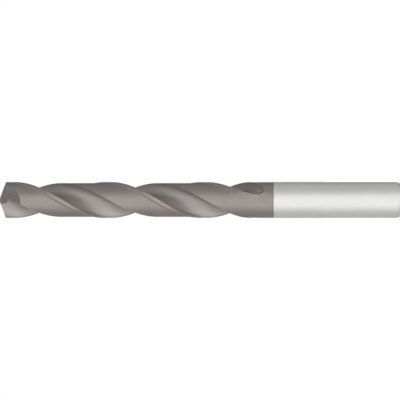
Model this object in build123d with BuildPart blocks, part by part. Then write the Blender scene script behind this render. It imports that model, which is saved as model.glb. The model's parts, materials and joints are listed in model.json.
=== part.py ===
from build123d import *
from math import asin, atan, ceil, cos, degrees, pi, radians, sin, sqrt, tan
import os

# A two-flute solid carbide drill, one ground piece of round rod.
# It stands on its shank end: the origin is the centre of that end, +Z runs to the point,
# and the two cutting corners lie on the X axis.

# Driving dimensions, in millimetres and degrees
drill_diameter = 8.0
overall_length = 89.0
flute_length = 58.8
clearance_length = 51.0
helix_angle = 30.5

# Diameter lost from the cutting corners to the neck, so that only the corners rub the hole
back_taper = 0.07

# Shank, as thick as the tool holder's bore
shank_diameter = 8.0
shank_length = 28.1
shank_chamfer_length = 0.7
shank_chamfer_depth = 0.4
neck_length = 0.3

# Flute section, seen square to the axis; angles count from the cutting corner
web_diameter = 2.56
flute_angle = 86.4
web_contact_angle = 53.0
runout_radius = 17.0

# Margin and the relieved land behind it
margin_width = 0.88
margin_step_width = 0.33
clearance_diameter = 7.5

# Point
point_angle = 140.0
primary_relief = 6.0
primary_width = 1.2
secondary_relief = 25.0

# Web thinning
gash_angle = 39.0
gash_turn = 65.0
gash_drop = 0.2
thinned_web = 0.6
thinned_lip_turn = 27.0
gash_corner_radius = 0.25

# Stock that the cutters reach past the rod, and the turn of the helix between two sections
overcut = 1.0
section_turn = 13.0
runout_sections = 12

# Sizes that follow
drill_radius = drill_diameter / 2
shank_radius = shank_diameter / 2
neck_radius = (drill_diameter - back_taper) / 2
clearance_radius = clearance_diameter / 2
web_radius = web_diameter / 2
lead = pi * drill_diameter / tan(radians(helix_angle))
lip_slope = 1 / tan(radians(point_angle / 2))
corner_height = overall_length - drill_radius * lip_slope
rod_top = overall_length + overcut / 2
flute_end = overall_length - flute_length
clearance_end = overall_length - clearance_length
land_angle = 180 - flute_angle
margin_angle = degrees(margin_width / drill_radius)
margin_step_angle = degrees(margin_step_width / drill_radius)


def polar(radius, angle):
    return (radius * cos(radians(angle)), radius * sin(radians(angle)))


def runout_length(depth):
    """Length over which a cut of this depth runs out on the run-out radius."""
    return sqrt(runout_radius**2 - (runout_radius - depth) ** 2)


def runout_lift(drop):
    """How far a cutter has left the work at this drop below the start of its run-out."""
    return runout_radius - sqrt(runout_radius**2 - drop**2)


def cutter_plane(height, lift, lift_angle):
    """Section plane at a height, turned with the helix and lifted outwards."""
    turn = 360 * (height - corner_height) / lead
    return Plane(
        origin=(*polar(lift, turn + lift_angle), height),
        x_dir=(*polar(1, turn), 0),
        z_dir=(0, 0, 1),
    )


def cutter_planes(cut_end, depth, lift_angle):
    """Section planes from above the point down to where a cut of this depth has run out."""
    start = cut_end + runout_length(depth)
    top = overall_length + overcut
    steps = ceil(360 * (top - start) / lead / section_turn)
    pitch = (top - start) / steps
    planes = [cutter_plane(top - k * pitch, 0, 0) for k in range(steps + 1)]
    last_drop = runout_length(depth + overcut / 2)
    for k in range(1, runout_sections + 1):
        drop = last_drop * k / runout_sections
        planes.append(cutter_plane(start - drop, runout_lift(drop), lift_angle))
    return planes


def floor_arc(end, turn_sign):
    """Arc from the web's contact point through an end point, run on past the rod's surface."""
    floor = Vector(polar(web_radius, web_contact_angle))
    chord = Vector(end) - floor
    outward = Vector(polar(1, web_contact_angle))
    radius = chord.length**2 / (2 * chord.dot(outward))
    size = 2 * degrees(asin(chord.length / (2 * radius))) + degrees(overcut / radius)
    tangent = polar(1, web_contact_angle - 90 * turn_sign)
    return JernArc(floor, tangent, radius, turn_sign * size)


def flute_outline():
    """Flute section: a lip arc and a heel arc, both tangent to the web."""
    lip = floor_arc(polar(drill_radius, 0), 1)
    heel = floor_arc(polar(clearance_radius, flute_angle), -1)
    ThreePointArc(lip @ 1, polar(drill_radius + 1.5 * overcut, flute_angle / 2), heel @ 1)


def clearance_outline():
    """Section of the stock between the relieved land and the rod's surface."""
    foot_angle = -margin_angle - margin_step_angle
    past_heel = -land_angle - margin_angle
    foot = Vector(polar(clearance_radius, foot_angle))
    edge = Vector(polar(drill_radius, -margin_angle))
    heel = polar(clearance_radius, past_heel)
    outer = drill_radius + overcut
    past_edge = edge + (edge - foot)
    Line(foot, past_edge)
    ThreePointArc(foot, polar(clearance_radius, (foot_angle + past_heel) / 2), heel)
    Line(heel, polar(outer, past_heel))
    ThreePointArc(past_edge, polar(outer, (foot_angle + past_heel) / 2), polar(outer, past_heel))


# Flute cutter, one loft that follows the helix and lifts out at the end of the flute
with BuildPart() as flute_cutter:
    for plane in cutter_planes(flute_end, drill_radius - web_radius, flute_angle / 2):
        with BuildSketch(plane):
            with BuildLine():
                flute_outline()
            make_face()
    loft()

# Land cutter, which leaves the margin standing
with BuildPart() as land_cutter:
    land_middle = -(margin_angle + land_angle) / 2
    for plane in cutter_planes(clearance_end, drill_radius - clearance_radius, land_middle):
        with BuildSketch(plane):
            with BuildLine():
                clearance_outline()
            make_face()
    loft()


# Gash cutter, a wide V whose floor falls away behind the point and whose wall is the inner lip
gash_slope = 1 / tan(radians(gash_angle))
floor_turn = gash_turn - thinned_lip_turn
bottom_slope = gash_slope * cos(radians(floor_turn))
bottom_fall = degrees(atan(bottom_slope))
floor_slope = gash_slope * sin(radians(floor_turn)) * cos(radians(bottom_fall))
gash_reach = 2 * drill_diameter
half_web = thinned_web / 2
wall_point = (
    0,
    half_web,
    overall_length - gash_drop - gash_slope * half_web * sin(radians(gash_turn)),
)
gash_plane = Plane(
    origin=wall_point,
    x_dir=(*polar(1, thinned_lip_turn + 90), 0),
    z_dir=(*polar(1, thinned_lip_turn), -bottom_slope),
)
with BuildPart() as gash_cutter:
    with BuildSketch(gash_plane) as gash_section:
        with BuildLine():
            Polyline(
                (0, 0),
                (gash_reach, -floor_slope * gash_reach),
                (gash_reach, gash_reach),
                (0, gash_reach),
                close=True,
            )
        make_face()
        fillet(gash_section.vertices().sort_by_distance(wall_point)[0], gash_corner_radius)
    extrude(amount=gash_reach, both=True)


def flank_plane(side, relief, behind):
    """Ground flank that falls to its corner and away behind its lip, from a line behind the lip."""
    fall = tan(radians(relief))
    line_height = overall_length - tan(radians(primary_relief)) * behind
    return Plane(origin=(0, -side * behind, line_height), z_dir=(side * lip_slope, -side * fall, 1))


with BuildPart() as drill:
    # Round rod: shank with its end chamfer, neck, and the fluted part with its back taper
    with BuildSketch(Plane.YZ):
        with BuildLine():
            Polyline(
                (0, 0),
                (shank_radius - shank_chamfer_depth, 0),
                (shank_radius, shank_chamfer_length),
                (shank_radius, shank_length),
                (neck_radius, shank_length + neck_length),
                (drill_radius, corner_height),
                (drill_radius, rod_top),
                (0, rod_top),
                close=True,
            )
        make_face()
    revolve(axis=Axis.Z)

    # Flutes and relieved lands, one of each to a lip
    for cutter in (flute_cutter, land_cutter):
        for turn in (0, 180):
            add(cutter.part, rotation=(0, 0, turn), mode=Mode.SUBTRACT)

    # Primary and secondary flanks behind both lips, then the thinning gashes
    for side in (1, -1):
        split(bisect_by=flank_plane(side, primary_relief, 0), keep=Keep.BOTTOM)
        split(bisect_by=flank_plane(side, secondary_relief, primary_width), keep=Keep.BOTTOM)
    for turn in (0, 180):
        add(gash_cutter.part, rotation=(0, 0, turn), mode=Mode.SUBTRACT)

drill.part.label = "drill"
os.makedirs("parts", exist_ok=True)
export_step(drill.part, "parts/drill.step")
print("volume", round(drill.part.volume, 1), "faces", len(drill.part.faces()))
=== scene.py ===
import json
from math import cos, pi, radians, sin, tan
from types import SimpleNamespace
import bpy
from mathutils import Matrix, Vector

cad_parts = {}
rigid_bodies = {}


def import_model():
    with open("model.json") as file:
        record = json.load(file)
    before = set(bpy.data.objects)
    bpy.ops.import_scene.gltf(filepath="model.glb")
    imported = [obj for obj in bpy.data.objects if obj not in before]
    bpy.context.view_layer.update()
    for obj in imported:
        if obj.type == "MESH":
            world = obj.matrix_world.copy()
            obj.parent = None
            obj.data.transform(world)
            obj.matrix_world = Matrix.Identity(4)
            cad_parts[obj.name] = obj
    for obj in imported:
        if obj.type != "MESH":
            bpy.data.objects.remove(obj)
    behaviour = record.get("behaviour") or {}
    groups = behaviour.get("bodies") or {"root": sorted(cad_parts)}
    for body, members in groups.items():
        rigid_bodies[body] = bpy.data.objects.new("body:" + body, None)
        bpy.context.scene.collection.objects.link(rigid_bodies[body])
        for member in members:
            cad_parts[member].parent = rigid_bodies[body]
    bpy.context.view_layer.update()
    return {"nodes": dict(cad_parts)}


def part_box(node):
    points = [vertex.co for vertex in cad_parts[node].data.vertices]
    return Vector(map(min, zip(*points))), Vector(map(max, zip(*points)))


# A two-flute solid carbide drill standing on its shank end: grey coating over the fluted part,
# bright ground shank. The scene is in metres, and the finish is laid out in millimetres.

for leftover in list(bpy.data.objects):
    bpy.data.objects.remove(leftover)
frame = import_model()

# Sizes of the drill that its finish follows, in millimetres and degrees
mm = 1000
drill_radius = 4.0
point_angle = 140.0
helix_angle = 30.5
coating_end = 28.1
clearance_end = 38.0
margin_width = 0.88
riser_width = 0.33
point_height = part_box("drill")[1].z * mm
corner_height = point_height - drill_radius / tan(radians(point_angle / 2))
lead = 2 * pi * drill_radius / tan(radians(helix_angle))

# The photograph, in metres and degrees: how much of the drill's length fills its width, the height
# on the standing drill of its middle, and the side that it is seen from
photo_width = 0.08884
photo_middle = 0.04442
photo_side = -17.4

# Finish colours, linear. The flutes' colour is the coating's, made lighter as painted fill light in
# their hollows
coating_warm = (0.438, 0.383, 0.366)
coating_cool = (0.415, 0.382, 0.363)
flute_colour_with_painted_fill = (0.430, 0.393, 0.379)
bare_carbide = (0.62, 0.61, 0.60)
shank_colour = (0.945, 0.945, 0.936)
shank_shade = (0.92, 0.92, 0.916)

# How much lighter or darker than its colour each surface is. Flutes, rake, run-outs, flanks and the
# riser step carry painted light and shade; the margin and the coating's edge band have their own tone
# Painted fill light: the flutes are lightened where their hollows are shaded
flute_painted_fill_tone = 1.03
# Painted light: the rake faces are made much lighter
rake_painted_light_tone = 1.36
# Painted shade: the run-outs, which lean upwards, are made darker
runout_painted_shade_tone = 0.88
# Painted shade: the point's flanks, which face upwards, are made darker
flank_painted_shade_tone = 0.95
margin_tone = 1.01
# Painted shade: the step behind the margin is made darker
riser_painted_shade_tone = 0.96
boundary_tone = 0.96

# Swing of the tone from the clouds and from the grinding marks, and shares of bare carbide
cloud_swing = 0.015
coating_mark_swing = 0.24
shank_mark_swing = 0.06
edge_wear = 0.35
lip_wear = 0.12

# Roughness, its swing, and how much smoother margins and worn edges are
coating_rough = 0.51
shank_rough = 0.5
rough_swing = 0.05
polish = 0.04

# Relief of the grinding marks and rounding of the edges, in metres
coating_mark_height = 9e-7
shank_mark_height = 4e-7
edge_round = 4e-5

# Noises: cells to the millimetre, detail, and the share of those cells along each axis
wave_noise = (0.8, 1.0, (1, 1, 0.2))
cloud_noise = (0.45, 2.0, (1, 1, 0.5))
speck_noise = (5.0, 2.0, (1, 1, 1))
ring_noise = (7.0, 3.0, (1, 1, 0.15))
streak_noise = (4.5, 3.0, (1, 1, 0.03))
stroke_noise = (9.0, 2.0, (1, 0.05, 0.2))

# The part of a noise's range over which it takes effect
widest = (0.25, 0.75)
wide = (0.3, 0.7)
narrow = (0.35, 0.65)

# Soft edges of the surfaces, in millimetres: above the coating's end, from the clearance's end,
# out from the axis, across the unwound drill, behind the margin, and behind the lip
boundary_blur = 0.14
boundary_wave = 0.05
boundary_fade = (0.1, 0.9)
runout_fade = 3.0
clearance_fade = (1.0, 3.0)
flute_radii = (3.72, 3.4)
land_radii = (3.6, 3.7)
rake_reach = (0.9, 3.4)
margin_blur = 0.02
riser_fade = (-0.15, 0.05)
lip_fade = (-0.2, -0.05)

# Soft edges by direction: the upright part of the normal on flanks and run-outs, and the cosine
# between the rounded and the true normal on worn edges, which the specks break up
flank_lean = (0.7, 0.8)
runout_lean = (0.03, 0.25)
worn_turn = (0.995, 0.9)
worn_specks = (0.35, 0.6)


class Graph:
    """A node tree of a material or the world, with its nodes made by short calls."""

    def __init__(self, owner):
        owner.use_nodes = True
        self.tree = owner.node_tree
        self.tree.nodes.clear()

    def node(self, kind, inputs=None, **settings):
        made = self.tree.nodes.new("ShaderNode" + kind)
        for name, value in settings.items():
            setattr(made, name, value)
        for name, value in (inputs or {}).items():
            self.feed(made.inputs[name], value)
        return made

    def feed(self, socket, value):
        if isinstance(value, bpy.types.NodeSocket):
            self.tree.links.new(value, socket)
        else:
            socket.default_value = value

    def math(self, operation, *values, clamp=False):
        inputs = dict(enumerate(values))
        return self.node("Math", inputs, operation=operation, use_clamp=clamp).outputs[0]

    def times(self, first, second):
        return self.math("MULTIPLY", first, second)

    def ramp(self, value, start, end, low=0.0, high=1.0, kind="SMOOTHSTEP"):
        """low on the side of start, high on the side of end, and a smooth step between them."""
        inputs = {"Value": value, "From Min": start, "From Max": end, "To Min": low, "To Max": high}
        return self.node("MapRange", inputs, interpolation_type=kind).outputs["Result"]

    def between(self, factor, first, second):
        """first where the factor is 0, second where it is 1."""
        return self.ramp(factor, 0.0, 1.0, first, second, "LINEAR")

    def scaled(self, vector, factor):
        return self.node("VectorMath", {0: vector, 3: factor}, operation="SCALE").outputs[0]

    def noise(self, vector, cells, detail, share):
        """Noise of this many cells to the millimetre, and this share of them along each axis."""
        drawn_out = self.node("VectorMath", {0: vector, 1: share}, operation="MULTIPLY").outputs[0]
        settings = {"Vector": drawn_out, "Scale": cells, "Detail": detail}
        return self.node("TexNoise", settings).outputs[0]

    def blend(self, factor, first, second):
        made = self.node("Mix", data_type="RGBA")
        self.feed(made.inputs[0], factor)
        self.feed(made.inputs[6], first)
        self.feed(made.inputs[7], second)
        return made.outputs[2]


def colour(rgb):
    return (*rgb, 1.0)


def drill_places(g):
    """Where a point lies on the drill, in millimetres, and the upright part of its normal."""
    coords = g.node("TexCoord").outputs
    place = g.scaled(coords["Object"], mm)
    x, y, z = g.node("SeparateXYZ", {0: place}).outputs
    lean = g.node("SeparateXYZ", {0: coords["Normal"]}).outputs[2]
    r = g.math("SQRT", g.math("ADD", g.times(x, x), g.times(y, y)))

    # Radius, height and angle, for marks that run round the axis
    around = g.node("CombineXYZ", {0: r, 1: z, 2: g.math("ARCTAN2", y, x)}).outputs[0]

    # The helix unwound, so that each flute and margin runs straight up beside the X axis
    turn = g.times(g.math("SUBTRACT", z, corner_height), 2 * pi / lead)
    turned_back = {"rotation_type": "Z_AXIS", "invert": True}
    unwound = g.node("VectorRotate", {"Vector": place, "Angle": turn}, **turned_back).outputs[0]
    across, behind = g.node("SeparateXYZ", {0: unwound}).outputs[:2]
    ahead = g.times(behind, g.math("SIGN", across))
    return SimpleNamespace(
        place=place, around=around, unwound=unwound, r=r, z=z, lean=lean, across=across, ahead=ahead
    )


def drill_surfaces(g, at):
    """How far a point belongs to each surface, from 0 to 1."""
    wave = g.ramp(g.noise(at.place, *wave_noise), *wide, -boundary_wave, boundary_wave)
    above = g.math("SUBTRACT", g.math("ADD", at.z, wave), coating_end)
    coated = g.ramp(above, -boundary_blur, boundary_blur)
    boundary = g.times(coated, g.ramp(above, *boundary_fade, 1.0, 0.0))
    flank = g.ramp(at.lean, *flank_lean)
    flute = g.times(g.ramp(at.r, *flute_radii), g.math("SUBTRACT", coated, flank, clamp=True))
    # The run-outs past the clearance's end, which lean upwards and get painted shade
    past_clearance = g.ramp(at.z, clearance_end, clearance_end - runout_fade)
    runout_painted_shade_mask = g.times(g.ramp(at.lean, *runout_lean), past_clearance)
    # The rake faces in the flutes, where light is painted on
    rake_painted_light_mask = g.times(flute, g.ramp(g.math("ABSOLUTE", at.across), *rake_reach))

    # The margin, the slope behind it and the line along the lip
    cleared = g.ramp(at.z, *(clearance_end + fade for fade in clearance_fade))
    land = g.times(g.ramp(at.r, *land_radii), cleared)
    margin_edge = g.ramp(at.ahead, -margin_width - margin_blur, -margin_width + margin_blur)
    margin = g.times(land, margin_edge)
    riser_foot = -margin_width - riser_width
    behind_margin = g.math("SUBTRACT", land, margin, clamp=True)
    # The step behind the margin, which gets painted shade
    riser_painted_shade_mask = g.times(behind_margin, g.ramp(at.ahead, *(riser_foot + fade for fade in riser_fade)))
    lip_line = g.times(margin, g.ramp(at.ahead, *lip_fade))
    return SimpleNamespace(
        coated=coated, boundary=boundary, flank=flank, flute=flute, runout_painted_shade_mask=runout_painted_shade_mask, rake_painted_light_mask=rake_painted_light_mask,
        margin=margin, riser_painted_shade_mask=riser_painted_shade_mask, lip_line=lip_line,
    )


def grinding_marks(g, at, on):
    """Rings on the round surfaces, streaks along the flutes and strokes across the flanks."""
    rings = g.noise(at.around, *ring_noise)
    streaks = g.noise(at.unwound, *streak_noise)
    strokes = g.noise(at.unwound, *stroke_noise)
    return g.between(on.flank, g.between(on.flute, rings, streaks), strokes)


def surface_tone(g, on, marks, clouds):
    """How much lighter or darker than its colour a point is: grinding marks and clouds, the margin and
    the coating's edge band, and painted light and shade on the flutes, rake, run-outs, flanks and riser
    step.
    """
    swing = g.between(on.coated, shank_mark_swing, coating_mark_swing)
    shade = g.times(g.math("SUBTRACT", marks, 0.5), swing)
    cloudy = g.ramp(clouds, *wide, 1 - cloud_swing, 1 + cloud_swing, "LINEAR")
    tone = g.times(g.math("ADD", shade, 1.0), cloudy)
    # Painted fill on the flutes, painted light on the rake, and painted shade on run-outs, riser steps
    # and flanks; the margin and the coating's edge band are their own tone
    toned = (
        (on.flute, flute_painted_fill_tone), (on.rake_painted_light_mask, rake_painted_light_tone), (on.margin, margin_tone), (on.runout_painted_shade_mask, runout_painted_shade_tone),
        (on.riser_painted_shade_mask, riser_painted_shade_tone), (on.boundary, boundary_tone), (on.flank, flank_painted_shade_tone),
    )
    for surface, factor in toned:
        tone = g.times(tone, g.between(surface, 1.0, factor))
    return tone


def drill_material():
    """Satin hard coating over the fluted part, bright ground shank, and their grinding marks, with
    painted light and shade on some coated surfaces.
    """
    material = bpy.data.materials.new("carbide_finish")
    g = Graph(material)
    at = drill_places(g)
    on = drill_surfaces(g, at)
    clouds = g.noise(at.place, *cloud_noise)
    specks = g.noise(at.place, *speck_noise)
    marks = grinding_marks(g, at, on)

    # Rounded edges, and how far each point is onto one
    rounded = g.node("Bevel", {"Radius": edge_round}, samples=6).outputs[0]
    normal = g.node("NewGeometry").outputs["Normal"]
    same = g.node("VectorMath", {0: rounded, 1: normal}, operation="DOT_PRODUCT").outputs["Value"]
    worn = g.times(g.ramp(same, *worn_turn), g.ramp(specks, *worn_specks))

    # Colour
    coating = g.blend(g.ramp(clouds, *narrow), colour(coating_cool), colour(coating_warm))
    # The flutes take a lighter colour, painted fill light in their hollows
    coating = g.blend(on.flute, coating, colour(flute_colour_with_painted_fill))
    bare = g.math("MAXIMUM", g.times(worn, edge_wear), g.times(on.lip_line, lip_wear))
    coating = g.blend(bare, coating, colour(bare_carbide))
    shank = g.blend(specks, colour(shank_colour), colour(shank_shade))
    base = g.scaled(g.blend(on.coated, shank, coating), surface_tone(g, on, marks, clouds))

    # Gloss and relief
    rough = g.between(on.coated, shank_rough, coating_rough)
    rough = g.math("ADD", rough, g.ramp(marks, *widest, -rough_swing, rough_swing, "LINEAR"))
    rough = g.math("SUBTRACT", rough, g.times(g.math("MAXIMUM", on.margin, worn), polish))
    height = g.between(on.coated, shank_mark_height, coating_mark_height)
    relief = g.node("Bump", {"Height": marks, "Distance": height, "Strength": 1.0, "Normal": rounded})
    finish = {"Base Color": base, "Roughness": rough, "Metallic": 1.0, "Normal": relief.outputs[0]}
    shader = g.node("BsdfPrincipled", finish)
    g.node("OutputMaterial", {"Surface": shader.outputs[0]})
    return material


for slot in frame["nodes"]["drill"].material_slots:
    slot.material = drill_material()

# Camera with a long lens, level with the middle of the drill and rolled so that the point is on
# the left
camera_lens = 400.0
sensor_width = 36.0
camera_distance = photo_width * camera_lens / sensor_width
view_turn = radians(photo_side)
toward_camera = Vector((sin(view_turn), -cos(view_turn), 0))
image_right = Vector((0, 0, -1))
image_up = toward_camera.cross(image_right)
camera_data = bpy.data.cameras.new("camera")
camera_data.lens = camera_lens
camera_data.sensor_width = sensor_width
camera = bpy.data.objects.new("camera", camera_data)
bpy.context.scene.collection.objects.link(camera)
turned = Matrix((image_right, image_up, toward_camera)).transposed()
aim = Vector((0, 0, photo_middle))
camera.matrix_world = Matrix.Translation(aim + toward_camera * camera_distance) @ turned.to_4x4()
bpy.context.scene.camera = camera


def shown_as_background(g):
    """1 for rays that show the background: the camera's own, and those by way of metal or glass."""
    path = g.node("LightPath").outputs
    seen = g.math("ADD", path["Is Camera Ray"], path["Is Glossy Ray"])
    return g.math("ADD", seen, path["Is Transmission Ray"], clamp=True)


# World: white where it is seen, softer as light
world_light = 0.8
world = bpy.data.worlds.new("studio")
bpy.context.scene.world = world
g = Graph(world)
strength = g.between(shown_as_background(g), world_light, 1.0)
back = g.node("Background", {"Color": colour((1, 1, 1)), "Strength": strength})
g.node("OutputWorld", {"Surface": back.outputs[0]})

# Floor under the shank end
floor_radius = 0.6
floor_colour = (0.97, 0.97, 0.97)
bpy.ops.mesh.primitive_circle_add(vertices=96, radius=floor_radius, fill_type="NGON", location=(0, 0, 0))
floor = bpy.context.object
floor.name = "floor"
floor_material = bpy.data.materials.new("floor")
g = Graph(floor_material)
diffuse = g.node("BsdfDiffuse", {"Color": colour(floor_colour)})
g.node("OutputMaterial", {"Surface": diffuse.outputs[0]})
floor.data.materials.append(floor_material)
floor.visible_glossy = False

# Cards that only reflections show: grey ones in a drum round the drill, which leave a white opening
# round the camera's side, and a round one above and below it. In metres and degrees, with the
# drum's slant in degrees of turn to the metre
card_distance = 0.5
card_slant = 20.0
card_top = 0.7
card_colour = (0.998, 1.0, 0.98)


def glow_card(mesh, name, level):
    """Makes a mesh a card that glows evenly at this level."""
    material = bpy.data.materials.new(name)
    g = Graph(material)
    glow = g.node("Emission", {"Color": colour(card_colour), "Strength": level})
    g.node("OutputMaterial", {"Surface": glow.outputs[0]})
    mesh.materials.append(material)
    made = bpy.data.objects.new(name, mesh)
    bpy.context.scene.collection.objects.link(made)
    made.visible_camera = False
    made.visible_diffuse = False
    made.visible_shadow = False
    made.visible_transmission = False


def curved_card(name, start, end, bottom, level):
    """A card bent round the drill, from start to end in degrees from the camera's side."""
    steps = 48
    corners = []
    for k in range(steps + 1):
        along = start + (end - start) * k / steps
        for height in (bottom, card_top):
            turn = view_turn + radians(along - card_slant * height)
            corners.append((card_distance * sin(turn), -card_distance * cos(turn), height))
    faces = [(2 * k, 2 * k + 2, 2 * k + 3, 2 * k + 1) for k in range(steps)]
    mesh = bpy.data.meshes.new(name)
    mesh.from_pydata(corners, [], faces)
    glow_card(mesh, name, level)


def round_card(name, radius, height, aside, level):
    """A level round card above or below the drill, shifted this far to the picture's upper side."""
    steps = 64
    middle = image_up * aside
    corners = []
    for k in range(steps):
        turn = 2 * pi * k / steps
        corners.append((middle.x + radius * cos(turn), middle.y + radius * sin(turn), height))
    mesh = bpy.data.meshes.new(name)
    mesh.from_pydata(corners, [], [tuple(range(steps))])
    glow_card(mesh, name, level)


curved_card("upper_card", start=36.5, end=119, bottom=-1.2, level=0.43)
curved_card("far_card", start=119, end=180, bottom=-1.2, level=0.25)
curved_card("lower_card", start=180, end=300.4, bottom=-0.59, level=0.45)
round_card("top_card", radius=0.815, height=0.61, aside=0.1, level=0.325)
round_card("low_card", radius=0.9, height=-0.867, aside=0.3, level=1.1)

# Broad sun from behind the camera and above, which gives the floor its soft shadow
sun_energy = 1.9
sun_spread = 60.0
sun_rise = 1.4
sun_data = bpy.data.lights.new("sun", "SUN")
sun_data.energy = sun_energy
sun_data.angle = radians(sun_spread)
sun = bpy.data.objects.new("sun", sun_data)
sun.rotation_mode = "QUATERNION"
sun.rotation_quaternion = (toward_camera + Vector((0, 0, sun_rise))).to_track_quat("Z", "Y")
sun.visible_glossy = False
bpy.context.scene.collection.objects.link(sun)

bpy.context.scene.view_settings.view_transform = "Standard"
